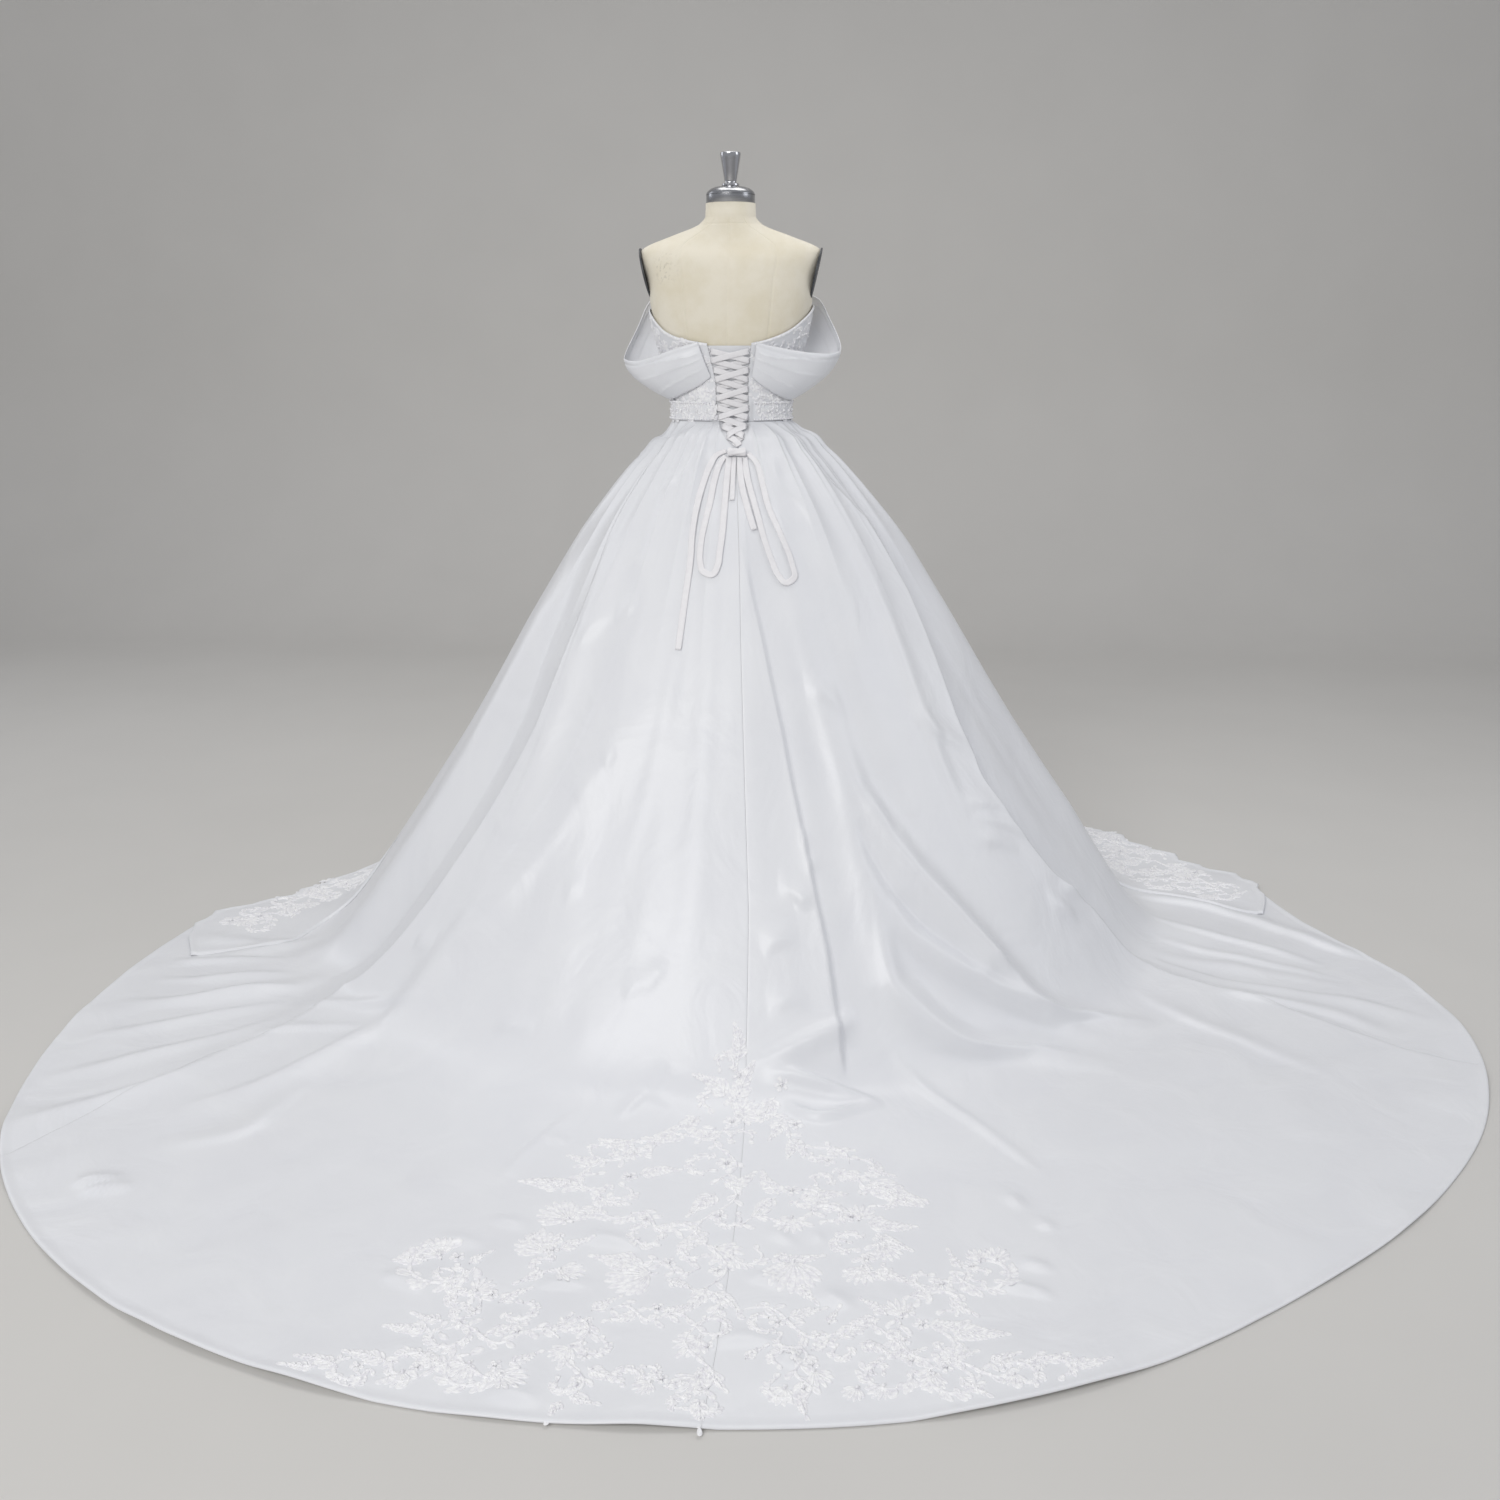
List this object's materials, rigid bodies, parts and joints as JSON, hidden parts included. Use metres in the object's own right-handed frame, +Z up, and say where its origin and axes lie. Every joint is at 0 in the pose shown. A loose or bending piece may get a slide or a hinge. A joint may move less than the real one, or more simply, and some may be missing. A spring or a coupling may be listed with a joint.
{
  "type": "wedding dress on a dress form",
  "caption": "Strapless satin ball gown with a laced-up lace bodice, off-shoulder drape, ribbon bow and a wide round train with lace, worn by a limbless dress form on a round foot.",
  "frame": {"origin": "centre of the stand base's underside, on the floor under the pole", "axes": "+Z up along the pole; -Y towards the train, the back of the dress; +Y towards the wearer's front; +X to the right in a view of the back"},
  "size_m": [2.5709, 2.423, 1.564],
  "materials": {
    "ivory_satin": "soft satin sheen",
    "ivory_lace": "matt corded lace",
    "satin_ribbon": "satin ribbon",
    "cream_linen": "plain woven linen",
    "chromed_steel": "polished",
    "dark_grey_plastic": "satin"
  },
  "bodies": {
    "root": {"arm_plate_left": "dark_grey_plastic", "arm_plate_right": "dark_grey_plastic", "bodice_back_left": "ivory_lace", "bodice_back_right": "ivory_lace", "bodice_front": "ivory_lace", "bow_end_short": "satin_ribbon", "bow_knot": "satin_ribbon", "bow_loop_left": "satin_ribbon", "bow_loop_right": "satin_ribbon", "bow_tail_left": "satin_ribbon", "bow_tail_right": "satin_ribbon", "drape_left": "ivory_satin", "drape_right": "ivory_satin", "form_torso": "cream_linen", "knob": "chromed_steel", "lace_arm_left": "ivory_lace", "lace_arm_right": "ivory_lace", "lace_flap_left": "ivory_lace", "lace_flap_right": "ivory_lace", "lace_hem_left": "ivory_lace", "lace_hem_right": "ivory_lace", "lace_spray_left": "ivory_lace", "lace_spray_right": "ivory_lace", "lace_stem": "ivory_lace", "lacing_ribbon_first": "satin_ribbon", "lacing_ribbon_second": "satin_ribbon", "modesty_panel": "ivory_satin", "neck_cap": "chromed_steel", "skirt_back_left": "ivory_satin", "skirt_back_right": "ivory_satin", "skirt_front": "ivory_satin", "skirt_front_side_left": "ivory_satin", "skirt_front_side_right": "ivory_satin", "skirt_side_left": "ivory_satin", "skirt_side_right": "ivory_satin", "stand_base": "chromed_steel", "stand_pole": "chromed_steel", "waist_belt": "ivory_lace"}
  },
  "joints": []
}
